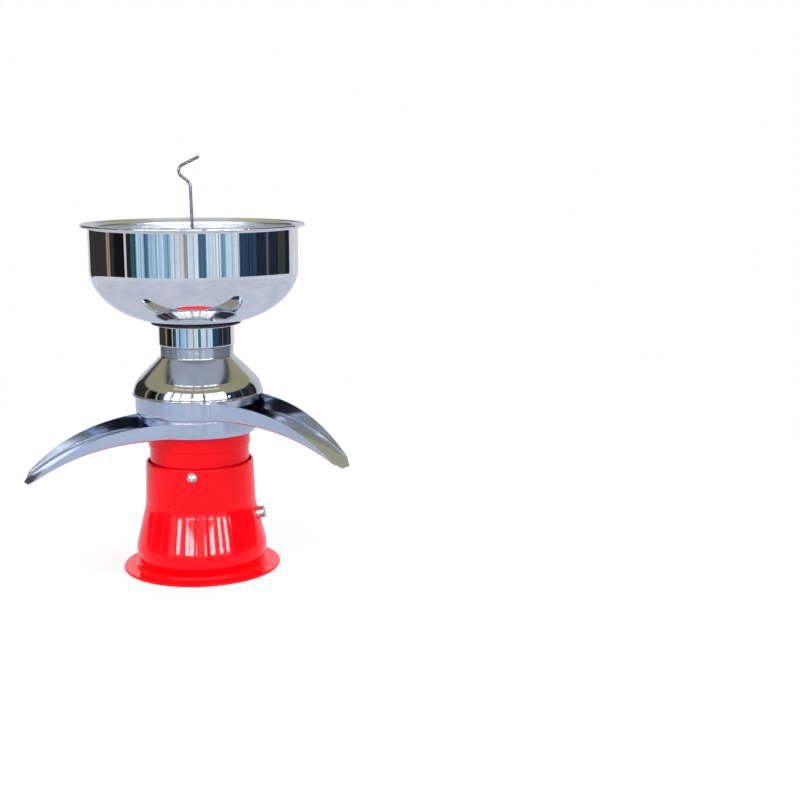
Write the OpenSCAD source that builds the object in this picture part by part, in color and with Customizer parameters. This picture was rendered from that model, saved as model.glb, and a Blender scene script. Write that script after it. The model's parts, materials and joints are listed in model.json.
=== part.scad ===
// Electric cream separator: a red bell stand with a motor unit hung inside it, a spinning
// drum of conical discs, two stacked receivers with long spouts, a float chamber and a milk bowl.
// Origin: centre of the base on the table. +Z up, front at -Y. Millimetres.

/* [Base and bell] */
// Radius of the base flange
base_r = 109.6; // [100:0.5:120]
// Thickness of the base flange
base_t = 3.5; // [3:0.5:5]
// Widest radius of the bell, near its foot
bell_foot_r = 90.8; // [88:0.1:94]
// Radius of the bell at its rim
bell_rim_r = 74.6; // [73.5:0.5:78]
// Height of the bell's rim
bell_rim_z = 153; // [148:1:158]
// Wall of the bell
bell_wall = 2.8; // [2:0.2:3]
// Angle of the front rim screw, from +X
rim_screw_angle = 261; // [240:1:280]
// Height of the rim screws
rim_screw_z = 143; // [138:1:145]

/* [Motor unit] */
// Radius of the motor casing where it shows above the bell
casing_r = 68.8; // [67:0.2:70]
// Radius of the casing around the motor
motor_r = 55; // [52:1:58]
// Wall of the casing
casing_wall = 2.5; // [2:0.1:3]
// Height of the seam between the casing and the drum chamber
seam_z = 175.4; // [172:0.2:178]
// Radius of the drum chamber's rim
chamber_rim_r = 70.5; // [70:0.1:72]
// Height of the drum chamber's rim
chamber_rim_z = 194.4; // [192:0.1:196]

/* [Drum] */
// Radius of the drum
drum_r = 54; // [50:0.5:56]
// Number of separating discs
disc_count = 10; // [10:1:10]
// Distance between the discs, along the axis
disc_pitch = 1.9; // [1.4:0.1:2]
// Thickness of a disc
disc_t = 0.6; // [0.4:0.1:0.8]

/* [Receivers] */
// Thickness of the pressed metal sheet
sheet = 1.2; // [1:0.1:1.5]
// Radius of the skim milk receiver
skim_r = 79.5; // [79:0.1:80]
// Height of the underside of the skim milk receiver
skim_z = 194.7; // [194.7:0.1:195.2]
// Height of its wall
skim_h = 23.6; // [22:0.1:23.8]
// Direction of its spout, from +X
skim_angle = 203; // [190:1:215]
// Fall of its floor at the end of the spout's walls
skim_floor_fall = 39.6; // [36:0.1:44]
// Fall of its walls' upper edge there
skim_wall_fall = 57.9; // [56:0.1:60]
// Radius of the cream receiver
cream_r = 86.2; // [85.5:0.1:87]
// Height of the underside of the cream receiver
cream_z = 221.3; // [220.5:0.1:222.5]
// Height of its wall
cream_h = 25.9; // [25:0.1:26]
// Direction of its spout, from +X
cream_angle = -40; // [-50:1:-30]
// Fall of its floor at the end of the spout's walls
cream_floor_fall = 44.5; // [41:0.1:48]
// Fall of its walls' upper edge there
cream_wall_fall = 67.7; // [65:0.1:68.5]
// Distance from the axis to the end of a spout's walls
spout_reach = 236; // [220:1:245]
// Width of a spout where it leaves the round wall
root_w = 100; // [90:1:110]
// Width of a spout at the end of its walls
mouth_w = 38; // [34:1:44]

/* [Cover and float chamber] */
// Radius of the cover above its bead
cover_r = 89; // [88:0.1:90]
// Height of the cover's lower edge
cover_z = 247.6; // [247.6:0.1:248]
// Radius of the cover's collar
collar_r = 50; // [49:0.1:51]
// Height of the collar's top
collar_z = 315; // [313:0.5:317]
// Radius of the float chamber
float_chamber_r = 51.7; // [51.4:0.1:53]
// Height of the float chamber's top
float_chamber_z = 345; // [344:0.1:345]
// Radius of the float
float_r = 41; // [38:0.5:43]

/* [Milk bowl] */
// Radius of the bowl's wall
bowl_r = 141.6; // [138:0.1:146]
// Radius of the bowl over its rolled rim
bowl_rim_r = 151.6; // [150:0.1:153]
// Height of the bowl's underside, on its cushion ring
bowl_foot_z = 347.6; // [347.6:0.1:349]
// Height of the bowl's rim
bowl_rim_z = 482; // [476:0.5:486]
// Rise of the curved bottom up to the straight wall
bowl_curve_h = 72.9; // [68:0.1:78]
// Diameter of the tap rod
rod_d = 4; // [3.5:0.1:5]

/* [Power switch and cable gland] */
// Direction of the power switch, from +X
switch_angle = -12; // [-20:1:0]
// Height of the power switch
switch_z = 76; // [70:1:80]
// Radius of the switch's barrel
switch_r = 8.1; // [7.5:0.1:8.5]
// Travel of the push button
button_travel = 2; // [1:0.1:2.5]
// Height of the cable gland, at the back
gland_z = 30; // [26:1:36]

/* [Hidden] */
$fn = 96;
DISC_NODES = [for (i = [1:disc_count]) str("separating_disc_", i < 10 ? "0" : "", i)];

// Small working gap between parts that move past each other
gap = 0.3;
// Radial clearance of a running fit
fit = 0.06;
eps = 0.01;
// Long enough to cut through any wall from inside
through = 120;

// ---------------------------------------------------------------- helpers

function arc(cx, cz, r, a0, a1, n = 10) =
    [for (i = [0:n]) let (a = a0 + (a1 - a0) * i / n) [cx + r * cos(a), cz + r * sin(a)]];
function reversed(p) = [for (i = [len(p) - 1:-1:0]) p[i]];
function unit(v) = v / norm(v);
function side_of(p, i) =
    let (d = unit(p[min(i + 1, len(p) - 1)] - p[max(i - 1, 0)])) [-d[1], d[0]];
// The line p moved sideways by t, to the left of its direction
function beside(p, t) = [for (i = [0:len(p) - 1]) p[i] + t * side_of(p, i)];

// A sheet of thickness t turned about Z, on the left of the line p
module turned_sheet(p, t) {
    rotate_extrude() polygon(concat(p, reversed(beside(p, t))));
}

// A ring with a rectangular section
module ring(r_out, r_in, z0, z1) {
    rotate_extrude() polygon([[r_in, z0], [r_out, z0], [r_out, z1], [r_in, z1]]);
}

// Children standing on the direction a, with their own z pointing outward from radius r
module outward(a, r, z, tilt = 0) {
    rotate([0, 0, a]) translate([r, 0, z]) rotate([0, 90 - tilt, 0]) children();
}

// A round bar from p to q
module bar(p, q, r) {
    v = q - p;
    translate(p) rotate([0, acos(v[2] / norm(v)), atan2(v[1], v[0])]) cylinder(r = r, h = norm(v));
}

// A cross-recessed screw: its shank points down from z = 0, its domed head stands above
module cross_screw(head_r, head_h, shank_r, shank_l) {
    dome_r = (head_r * head_r + head_h * head_h) / (2 * head_h);
    difference() {
        union() {
            intersection() {
                translate([0, 0, head_h - dome_r]) sphere(r = dome_r);
                cylinder(r = head_r, h = head_h);
            }
            translate([0, 0, -shank_l]) cylinder(r = shank_r, h = shank_l + eps);
        }
        for (a = [0, 90]) rotate([0, 0, a])
            translate([-head_r * 0.45, -head_r * 0.09, head_h * 0.35])
                cube([head_r * 0.9, head_r * 0.18, head_h]);
    }
}

// ---------------------------------------------------------------- base and bell

bell_foot_z = 7.8;
flare_z0 = 29;
flare_z1 = 100;
// Shares of the flare over which its slope grows, at the foot, and dies away, at the waist
flare_grow = 0.14;
flare_fade = 0.21;
bell_waist_r = bell_rim_r + 1.9;
foot_edge_r = bell_foot_r - 3.6;
// How much of the flare's step lies below the share t of its height
function flare(t) = let (full = 1 - (flare_grow + flare_fade) / 2)
    (t < flare_grow ? t * t / (2 * flare_grow)
    : t < 1 - flare_fade ? t - flare_grow / 2
    : full - (1 - t) * (1 - t) / (2 * flare_fade)) / full;
// Outer radius of the bell: tucked in at the foot, a straight-sided flare, then a slight taper
function bell_r(z) =
    z < flare_z0 ? foot_edge_r + (bell_foot_r - foot_edge_r)
        * sin(90 * (z - bell_foot_z) / (flare_z0 - bell_foot_z))
    : z < flare_z1 ? bell_foot_r + (bell_waist_r - bell_foot_r)
        * flare((z - flare_z0) / (flare_z1 - flare_z0))
    : bell_waist_r + (bell_rim_r - bell_waist_r) * (z - flare_z1) / (bell_rim_z - flare_z1);
// Upward tilt of the bell's surface at the height z
function bell_tilt(z) = atan((bell_r(z - 4) - bell_r(z + 4)) / 8);
bell_steps = 28;
function bell_line() = [for (i = [0:bell_steps])
    let (z = bell_foot_z + (bell_rim_z - bell_foot_z) * i / bell_steps) [bell_r(z), z]];

base_screw_count = 4;
base_screw_at = 79.5;
base_head_r = 3.8;
base_head_h = 2.4;
base_shank_r = 2;
base_screw_top = 18;
boss_r = 5.5;
boss_h = 14;
rib_w = 4;
module base_screw_places() {
    for (i = [0:base_screw_count - 1]) rotate([0, 0, 45 + i * 360 / base_screw_count])
        translate([base_screw_at, 0, 0]) children();
}

module base_flange() {
    step_r = 91.5;
    step_in = 73;
    vent_count = 10;
    vent_at = 46;
    vent_r = 6;
    round_r = 1.2;
    color("red") difference() {
        rotate_extrude() polygon(concat([[0, 0]], arc(base_r - round_r, round_r, round_r, -90, 0, 4),
            arc(base_r - round_r, base_t - round_r, round_r, 0, 90, 4),
            [[step_r + 2, base_t], [step_r + 0.6, base_t + 0.6], [step_r, base_t + 2],
            [step_r, bell_foot_z - 0.8], [step_r - 0.8, bell_foot_z], [step_in, bell_foot_z],
            [step_in, base_t], [0, base_t]]));
        base_screw_places() {
            translate([0, 0, -1]) cylinder(r = base_head_r + gap, h = base_t + 0.6);
            cylinder(r = base_shank_r + 0.1, h = bell_foot_z + 1);
        }
        for (i = [0:vent_count - 1]) rotate([0, 0, i * 360 / vent_count])
            translate([vent_at, 0, -1]) cylinder(r = vent_r, h = base_t + 2);
    }
}

module base_screws() {
    color("silver") base_screw_places() translate([0, 0, base_t - 0.4 - base_head_h])
        rotate([180, 0, 0]) translate([0, 0, -base_head_h])
            cross_screw(base_head_r, base_head_h, base_shank_r,
                base_screw_top - base_t + 0.4);
}

rim_screw_r = 3;
rim_head_r = 7;
// Where the flat underside of a rim screw's head clears the bell
function rim_head_at() = bell_r(rim_screw_z - rim_head_r) + 0.02;
module rim_places() {
    for (i = [0:2]) rotate([0, 0, rim_screw_angle + i * 120]) children();
}

// The seat of the side switch, with its own z pointing square out of the bell
module at_switch() {
    outward(switch_angle, bell_r(switch_z), switch_z, bell_tilt(switch_z)) children();
}

module bell_housing() {
    pinhole_angle = 235.5;
    pinhole_z = 102.5;
    pinhole_r = 1.2;
    color("red") difference() {
        union() {
            turned_sheet(bell_line(), bell_wall);
            base_screw_places() intersection() {
                union() {
                    translate([0, 0, bell_foot_z]) cylinder(r = boss_r, h = boss_h);
                    translate([0, -rib_w / 2, bell_foot_z]) cube([12, rib_w, boss_h]);
                }
                translate([-base_screw_at, 0, bell_foot_z])
                    cylinder(r = foot_edge_r - 0.5, h = boss_h);
            }
        }
        base_screw_places() translate([0, 0, bell_foot_z - 1])
            cylinder(r = base_shank_r, h = boss_h);
        rim_places() translate([0, 0, rim_screw_z]) rotate([0, 90, 0])
            cylinder(r = rim_screw_r + 0.2, h = bell_foot_r);
        at_switch() translate([0, 0, -through / 2]) cylinder(r = switch_r + 0.1, h = through);
        outward(90, motor_r, gland_z) cylinder(r = gland_thread_r + 0.1, h = through);
        outward(pinhole_angle, motor_r, pinhole_z) cylinder(r = pinhole_r, h = through);
    }
}

rim_head_h = 3.4;
rim_nut_t = 4;
rim_nut_r = 5.6;
module rim_screws() {
    color("silver") rim_places() translate([rim_head_at(), 0, rim_screw_z])
        rotate([0, 90, 0]) cross_screw(rim_head_r, rim_head_h, rim_screw_r,
            rim_head_at() - casing_r + casing_wall + rim_nut_t + 1);
}

module rim_bushes() {
    color("black") rim_places() difference() {
        intersection() {
            translate([casing_r - 2, 0, rim_screw_z]) rotate([0, 90, 0])
                cylinder(r = rim_head_r, h = 8);
            ring(bell_r(rim_screw_z + rim_head_r) - bell_wall - 0.05, casing_r + 0.02,
                rim_screw_z - 8, rim_screw_z + 8);
        }
        translate([0, 0, rim_screw_z]) rotate([0, 90, 0]) cylinder(r = rim_screw_r, h = through);
    }
}

module rim_nuts() {
    color("silver") rim_places() difference() {
        translate([casing_r - casing_wall - rim_nut_t - gap, 0, rim_screw_z]) rotate([0, 90, 0])
            cylinder(r = rim_nut_r, h = rim_nut_t, $fn = 6);
        translate([0, 0, rim_screw_z]) rotate([0, 90, 0]) cylinder(r = rim_screw_r, h = through);
    }
}

// ---------------------------------------------------------------- motor unit

casing_foot_z = 46;
casing_step_z = 104;
casing_top_step_z = 116;
upper_in_r = casing_r - casing_wall;
motor_in_r = motor_r - casing_wall;
bracket_screw_count = 4;
bracket_screw_at = motor_in_r - 5;
bracket_screw_r = 1.75;
bracket_t = 4;
module bracket_screw_places() {
    for (i = [0:bracket_screw_count - 1]) rotate([0, 0, 45 + i * 90])
        translate([bracket_screw_at, 0, 0]) children();
}

module motor_casing() {
    outer = [[motor_r, casing_foot_z], [motor_r, casing_step_z],
        [casing_r, casing_top_step_z], [casing_r, seam_z - 0.2]];
    vent_count = 8;
    color("red") difference() {
        union() {
            turned_sheet(outer, casing_wall);
            bracket_screw_places() intersection() {
                translate([0, 0, casing_foot_z]) cylinder(r = 5.4, h = 10);
                translate([-bracket_screw_at, 0, casing_foot_z])
                    cylinder(r = motor_r - 0.5, h = 10);
            }
        }
        bracket_screw_places() translate([0, 0, casing_foot_z - 1])
            cylinder(r = bracket_screw_r, h = 9);
        rim_places() translate([0, 0, rim_screw_z]) rotate([0, 90, 0])
            cylinder(r = rim_screw_r, h = through);
        for (i = [0:vent_count - 1]) outward(i * 360 / vent_count, motor_in_r - 4, 99)
            cylinder(r = 2.5, h = 10);
    }
}

spindle_r = 5;
spindle_foot_r = 4;
lower_bearing_z = 41;
lower_bearing_h = 7;
lower_bearing_r = 11;
upper_bearing_z = 104;
upper_bearing_h = 9;
upper_bearing_r = 15;
armature_r = 26;
armature_z0 = 68;
armature_z1 = 92;

module lower_bracket() {
    hub_r = 14.5;
    vent_count = 8;
    vent_at = 31;
    vent_r = 6;
    color("dimgray") difference() {
        union() {
            translate([0, 0, casing_foot_z - bracket_t]) cylinder(r = motor_r, h = bracket_t);
            translate([0, 0, lower_bearing_z - 2]) cylinder(r = hub_r, h = lower_bearing_h + 4);
        }
        translate([0, 0, lower_bearing_z]) cylinder(r = lower_bearing_r, h = through);
        cylinder(r = lower_bearing_r - 2, h = through);
        bracket_screw_places() cylinder(r = bracket_screw_r + 0.1, h = through);
        for (i = [0:vent_count - 1]) rotate([0, 0, (i + 0.5) * 360 / vent_count])
            translate([vent_at, 0, 0]) cylinder(r = vent_r, h = through);
    }
}

module bracket_screws() {
    color("silver") bracket_screw_places() translate([0, 0, casing_foot_z - bracket_t - 0.01])
        rotate([180, 0, 0]) cross_screw(3.6, 2.2, bracket_screw_r, 10);
}

stator_in_r = armature_r + 1;
coil_w = 62;
coil_d = 11;
coil_y = stator_in_r + 8;
// A laminated ring with an opening between its poles, and a slot for each field coil
module stator_core() {
    gap_half = 34;
    ring_r = motor_in_r - 9;
    color("gray") difference() {
        translate([0, 0, armature_z0]) cylinder(r = motor_in_r, h = armature_z1 - armature_z0);
        cylinder(r = stator_in_r, h = through);
        for (s = [-1, 1]) intersection() {
            cylinder(r = ring_r, h = through);
            linear_extrude(through) polygon([[0, s * 12], [-gap_half, s * 60], [gap_half, s * 60]]);
        }
        for (s = [-1, 1]) translate([0, s * coil_y, 0])
            linear_extrude(through) square([coil_w + 1, coil_d + 1], center = true);
    }
}

// Two field coils, each a closed loop lying in the slots on one side of the armature
module field_coils() {
    overhang = 5;
    color("peru") for (s = [-1, 1])
        translate([0, s * coil_y, (armature_z0 + armature_z1) / 2]) difference() {
            cube([coil_w, coil_d, armature_z1 - armature_z0 + 2 * overhang], center = true);
            cube([coil_w - 18, coil_d + 1, armature_z1 - armature_z0 - 6], center = true);
        }
}

slot_count = 12;
module armature_core() {
    color("gray") difference() {
        translate([0, 0, armature_z0]) cylinder(r = armature_r, h = armature_z1 - armature_z0);
        cylinder(r = spindle_r, h = through);
        armature_slots(armature_z0 - 1, armature_z1 + 1, armature_r + 1);
    }
}

// The wire slots round the armature, out to radius r
module armature_slots(z0, z1, r) {
    for (i = [0:slot_count - 1]) rotate([0, 0, i * 360 / slot_count])
        translate([15, -2, z0]) cube([r - 15, 4, z1 - z0]);
}

module armature_windings() {
    end_h = 5;
    color("peru") {
        ring(armature_r - 3, 9, armature_z1, armature_z1 + end_h);
        ring(armature_r - 3, 9, armature_z0 - end_h, armature_z0);
        intersection() {
            armature_slots(armature_z0 - end_h, armature_z1 + end_h, armature_r - 0.5);
            cylinder(r = armature_r - 0.5, h = through);
        }
    }
}

commutator_r = 13;
commutator_z = 51;
commutator_h = 11;
module commutator() {
    bar_count = 24;
    color("darkorange") difference() {
        translate([0, 0, commutator_z]) cylinder(r = commutator_r, h = commutator_h);
        cylinder(r = spindle_r, h = through);
        for (i = [0:bar_count - 1]) rotate([0, 0, i * 360 / bar_count])
            translate([commutator_r - 1.5, -0.3, commutator_z - 1]) cube([4, 0.6, 20]);
    }
}

brush_z = 56;
brush_w = 6;
holder_w = 10;
holder_in = 17;
holder_out = 46;
module brush_places() {
    for (a = [0, 180]) rotate([0, 0, a]) translate([0, 0, brush_z]) children();
}

module brush_holders() {
    foot_h = brush_z - holder_w / 2 - casing_foot_z;
    color("goldenrod") brush_places() difference() {
        union() {
            translate([holder_in, -holder_w / 2, -holder_w / 2])
                cube([holder_out - holder_in, holder_w, holder_w]);
            translate([holder_out - 8, -holder_w / 2, -holder_w / 2 - foot_h])
                cube([8, holder_w, foot_h + 1]);
        }
        translate([holder_in - 1, -brush_w / 2 - 0.05, -brush_w / 2 - 0.05])
            cube([holder_out - holder_in - 1, brush_w + 0.1, brush_w + 0.1]);
    }
}

module carbon_brushes() {
    brush_l = 15;
    color("black") brush_places() translate([commutator_r + 0.3, -brush_w / 2, -brush_w / 2])
        cube([brush_l, brush_w, brush_w]);
}

// Coil springs behind the brushes, each a row of wire rings
module brush_springs() {
    turns = 6;
    spring_x0 = commutator_r + 16.7;
    spring_pitch = 2.4;
    spring_r = 2;
    wire_r = 0.5;
    color("silver") brush_places() {
        for (i = [0:turns - 1]) translate([spring_x0 + i * spring_pitch, 0, 0])
            rotate([0, 90, 0]) rotate_extrude() translate([spring_r, 0])
                circle(r = wire_r, $fn = 24);
        for (i = [0:turns - 2])
            translate([spring_x0 + i * spring_pitch, 0, i % 2 ? -spring_r : spring_r])
                rotate([0, 90, 0]) cylinder(r = wire_r - 0.05, h = spring_pitch, $fn = 24);
    }
}

module cooling_fan() {
    fan_z = 98;
    blade_count = 12;
    hub_r = 12;
    fan_r = 42;
    color("dimgray") difference() {
        union() {
            ring(fan_r, spindle_r, fan_z, fan_z + 1);
            ring(hub_r, spindle_r, fan_z, fan_z + 4);
            for (i = [0:blade_count - 1]) rotate([0, 0, i * 360 / blade_count])
                translate([hub_r - 1, -0.6, fan_z]) cube([fan_r - hub_r - 1, 1.2, 4.5]);
        }
        cylinder(r = spindle_r, h = through);
    }
}

spindle_top_z = 121;
module spindle() {
    color("silver") {
        translate([0, 0, lower_bearing_z]) cylinder(r = spindle_foot_r, h = 10);
        translate([0, 0, commutator_z]) cylinder(r = spindle_r, h = spindle_top_z - commutator_z);
        translate([0, 0, lower_bearing_z + lower_bearing_h])
            cylinder(r = spindle_r, h = commutator_z - lower_bearing_z - lower_bearing_h);
    }
}

// A deep-groove ball bearing standing on z = 0; part is outer, inner, cage or balls
module bearing(part, bore_r, outer_r, h, ball_r, count) {
    pitch_r = (bore_r + outer_r) / 2;
    land = (outer_r - bore_r) * 0.3;
    groove_r = ball_r + 0.05;
    window = 2 * ball_r + 0.24;
    if (part == "outer") difference() {
        ring(outer_r, outer_r - land, 0, h);
        translate([0, 0, h / 2]) rotate_extrude() translate([pitch_r, 0]) circle(r = groove_r);
    }
    if (part == "inner") difference() {
        ring(bore_r + land, bore_r, 0, h);
        translate([0, 0, h / 2]) rotate_extrude() translate([pitch_r, 0]) circle(r = groove_r);
    }
    if (part == "balls") for (i = [0:count - 1]) rotate([0, 0, i * 360 / count])
        translate([pitch_r, 0, h / 2]) sphere(r = ball_r);
    if (part == "cage") difference() {
        ring(pitch_r + 0.5, pitch_r - 0.5, 1, h - 1);
        for (i = [0:count - 1]) rotate([0, 0, i * 360 / count])
            translate([pitch_r - 1, -window / 2, (h - window) / 2]) cube([2, window, window]);
    }
}

module upper_bearing(part) {
    translate([0, 0, upper_bearing_z])
        bearing(part, spindle_r, upper_bearing_r, upper_bearing_h, 2.4, 8);
}

module lower_bearing(part) {
    translate([0, 0, lower_bearing_z])
        bearing(part, spindle_foot_r, lower_bearing_r, lower_bearing_h, 1.95, 7);
}

cup_r = 60;
cup_wall = 2.4;
cup_floor_z = 113.5;
cup_floor_t = 3;
cup_dish = 4;
rim_in_r = chamber_rim_r - 2.5;
module drum_chamber() {
    hub_r = 19;
    hub_z = upper_bearing_z - 1;
    color("red") rotate_extrude() polygon([[upper_bearing_r, hub_z], [hub_r, hub_z],
        [hub_r, cup_floor_z - cup_dish], [cup_r, cup_floor_z], [cup_r, seam_z],
        [chamber_rim_r - 0.6, seam_z], [chamber_rim_r, seam_z + 0.6],
        [chamber_rim_r, chamber_rim_z - 1], [chamber_rim_r - 1, chamber_rim_z],
        [rim_in_r, chamber_rim_z], [rim_in_r, seam_z + 4],
        [cup_r - cup_wall, seam_z + 1], [cup_r - cup_wall, cup_floor_z + cup_floor_t],
        [13, cup_floor_z + cup_floor_t], [13, upper_bearing_z + upper_bearing_h],
        [upper_bearing_r, upper_bearing_z + upper_bearing_h]]);
}

// ---------------------------------------------------------------- drum

drum_z = 120;
tube_r = 8;
tube_in_r = 6;
tube_top_z = 244;
drum_wall = 3;
drum_floor_t = 5;
drum_joint_z = 146;
neck_r = 17;
neck_in_r = 15.4;
neck_top_z = 240;
skim_outlet_z = 212;
cream_outlet_z = 235;
// Rise of the drum's cone, and of its discs, for each unit of radius
slope = 1.05;
// Height of a cone that starts at z0 on the drum's radius, where its radius is r
function cone_z(r, z0) = z0 + (drum_r - r) * slope;

module drum_base() {
    hub_r = 11;
    feed_r = 1.6;
    color("silver") difference() {
        rotate_extrude() polygon([[spindle_r, cup_floor_z + 0.5], [hub_r, cup_floor_z + 0.5],
            [hub_r, drum_z], [drum_r - 3, drum_z], [drum_r, drum_z + 3],
            [drum_r, drum_joint_z], [drum_r - drum_wall, drum_joint_z],
            [drum_r - drum_wall, drum_z + drum_floor_t], [tube_r, drum_z + drum_floor_t],
            [tube_r, tube_top_z], [tube_in_r, tube_top_z], [tube_in_r, drum_z + 6],
            [0, drum_z + 4], [0, spindle_top_z], [spindle_r, spindle_top_z]]);
        for (i = [0:2]) outward(i * 120, 0, drum_z + 9) cylinder(r = feed_r, h = 20);
    }
}

module drum_seal_ring() {
    color("black") ring(drum_r - 0.6, drum_r - drum_wall + 0.4, drum_joint_z, drum_joint_z + 1.4);
}

holder_r = 9.4;
// A conical sheet round the tube, from the radius r0 at height z0 up to the radius r1
module cone_sheet(r0, r1, z0, t) {
    z1 = z0 + (r0 - r1) * slope;
    rise = t * norm([1, slope]);
    rotate_extrude() polygon([[r0, z0], [r0, z0 + rise], [r1, z1 + rise], [r1, z1]]);
}

disc_r = 46;
disc_in_r = 18;
stack_z = 133;
module disc_holder() {
    color("lightgray") {
        ring(holder_r + 0.8, tube_r, drum_z + drum_floor_t + 7, 204);
        for (i = [0:5]) rotate([0, 0, i * 60]) translate([holder_r + 0.5, -0.8, 150])
            cube([disc_in_r - holder_r - 0.8, 1.6, 30]);
        cone_sheet(disc_r, holder_r + 0.8, stack_z - 2.2, disc_t);
    }
}

module separating_disc(i) {
    hole_at = 30;
    color("silver") difference() {
        cone_sheet(disc_r, disc_in_r, stack_z + i * disc_pitch, disc_t);
        for (k = [0:5]) rotate([0, 0, 30 + k * 60])
            translate([hole_at, 0, stack_z]) cylinder(r = 3, h = through);
    }
}

module top_disc() {
    z0 = stack_z + disc_count * disc_pitch + 0.4;
    neck_out = 13.6;
    neck_in = 12;
    cone_end = cone_z(neck_out, z0 - (drum_r - disc_r) * slope);
    color("silver") difference() {
        union() {
            cone_sheet(disc_r + 2, neck_in, z0 - 2.1, 0.9);
            ring(neck_out, neck_in, cone_end - 4, neck_top_z - 1.4);
            ring(neck_in_r - fit, neck_in, 219, 222);
        }
        outward(0, neck_in - 1, cream_outlet_z) cylinder(r = cream_screw_r, h = 10);
    }
}

cream_screw_r = 1.5;
module cream_screw() {
    color("gold") outward(0, neck_in_r - 4, cream_outlet_z) difference() {
        cylinder(r = cream_screw_r, h = 4.5);
        translate([0, 0, -1]) cylinder(r = 0.6, h = 8);
    }
}

module drum_cover() {
    shoulder_z = 152;
    cone_top = shoulder_z + (drum_r - neck_r) * slope;
    inner_top = shoulder_z + (drum_r - drum_wall - neck_in_r) * slope;
    color("silver") difference() {
        rotate_extrude() polygon([[drum_r - 2, drum_joint_z + 1.4], [drum_r, drum_joint_z + 1.4],
            [drum_r, shoulder_z], [neck_r, cone_top], [neck_r, neck_top_z],
            [tube_r, neck_top_z], [tube_r, neck_top_z - 1.2], [neck_in_r, neck_top_z - 1.2],
            [neck_in_r, inner_top], [drum_r - drum_wall, shoulder_z],
            [drum_r - drum_wall, drum_joint_z + 1.4]]);
        for (i = [0:2]) outward(i * 120 + 60, neck_in_r - 1, skim_outlet_z)
            cylinder(r = 2, h = 6);
        outward(0, neck_in_r - 1, cream_outlet_z) cylinder(r = 3.2, h = 6);
    }
}

module drum_nut() {
    nut_r = 13;
    notch_count = 6;
    color("gold") difference() {
        ring(nut_r, tube_r, neck_top_z, neck_top_z + 6);
        for (i = [0:notch_count - 1]) rotate([0, 0, i * 360 / notch_count])
            translate([nut_r - 1.5, -1.5, neck_top_z + 2]) cube([4, 3, 10]);
    }
}

// ---------------------------------------------------------------- receivers

// Length of the floor's tongue beyond a spout's walls, and its width at the tip
tongue_l = 10;
tongue_w = 20;

// Plan of a receiver, smaller by inset: the circle, the tapering spout up to the end of its
// walls, and the tongue of its floor
module receiver_plan(r, inset) {
    ri = r - inset;
    root = root_w / 2 - inset;
    mouth = mouth_w / 2 - inset;
    root_x = sqrt(ri * ri - root * root);
    tip_x = spout_reach + tongue_l;
    circle(r = ri);
    polygon([[0, 0], [root_x, -root], [spout_reach, -mouth], [tip_x, -tongue_w / 2],
        [tip_x, tongue_w / 2], [spout_reach, mouth], [root_x, root]]);
}

// An edge that runs level to the distance s0 and then bends down along a power curve, which
// has fallen by fall at the end of the walls; it goes on to the distance s1
function droop(s0, z0, s1, fall, power, n = 18) =
    [for (i = [0:n]) let (s = s0 + (s1 - s0) * i / n)
        [s, z0 - fall * pow((s - s0) / (spout_reach - s0), power)]];

// Side view of a spout, between the lower edge and the upper edge, made solid across
module side_view(lower, upper, back, width) {
    far = concat([[back, lower[0][1]]], lower, reversed(upper), [[back, upper[0][1]]]);
    rotate([90, 0, 0]) linear_extrude(width, center = true) polygon(far);
}

// Sharpness of the bend of a spout's floor and of its walls' upper edge
floor_bend = 2.5;
wall_bend = 3.35;

// A receiver standing on z0 with its spout along +X: a flat round floor with a wall, and
// a trough whose floor bends down from the distance floor_s and whose walls' upper edge bends
// down from the axis on; the collar round the drum's neck has the radius hole_r
module receiver(r, z0, h, floor_s, floor_fall, wall_fall, hole_r, collar_h) {
    lower = droop(floor_s, z0, spout_reach + tongue_l, floor_fall, floor_bend);
    upper = droop(0, z0 + h, spout_reach, wall_fall, wall_bend);
    tip = lower[len(lower) - 1] + [0, sheet];
    floor_top = [for (p = lower) p + [0, sheet]];
    difference() {
        union() {
            intersection() {
                translate([0, 0, z0 - through]) linear_extrude(through + h) difference() {
                    receiver_plan(r, 0);
                    receiver_plan(r, sheet);
                }
                side_view(lower, concat(upper, [tip]), -r - 5, 3 * r);
            }
            intersection() {
                translate([0, 0, z0 - through]) linear_extrude(through + h) receiver_plan(r, 0);
                side_view(lower, floor_top, -r - 5, 3 * r);
            }
            ring(hole_r + sheet, hole_r, z0, z0 + collar_h);
        }
        translate([0, 0, z0 - 1]) cylinder(r = hole_r, h = collar_h + 2);
    }
}

skim_hole_r = 24;
cream_hole_r = 20.5;
module skim_receiver() {
    floor_s = 72;
    lip_depth = 5;
    lip_r = rim_in_r - fit;
    color("lightsteelblue") rotate([0, 0, skim_angle]) {
        receiver(skim_r, skim_z, skim_h, floor_s, skim_floor_fall, skim_wall_fall,
            skim_hole_r, 12);
        ring(lip_r, lip_r - sheet, skim_z - lip_depth, skim_z + eps);
    }
}

module cream_receiver() {
    floor_s = 60;
    nest_depth = 8;
    rest_z = skim_z + skim_h + gap;
    nest_r = skim_r - sheet - fit;
    color("lightsteelblue") rotate([0, 0, cream_angle]) {
        receiver(cream_r, cream_z, cream_h, floor_s, cream_floor_fall, cream_wall_fall,
            cream_hole_r, 9);
        ring(skim_r - 0.2, nest_r - sheet, rest_z, cream_z + eps);
        ring(nest_r, nest_r - sheet, rest_z - nest_depth, rest_z + eps);
    }
}

// ---------------------------------------------------------------- cover and float chamber

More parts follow.
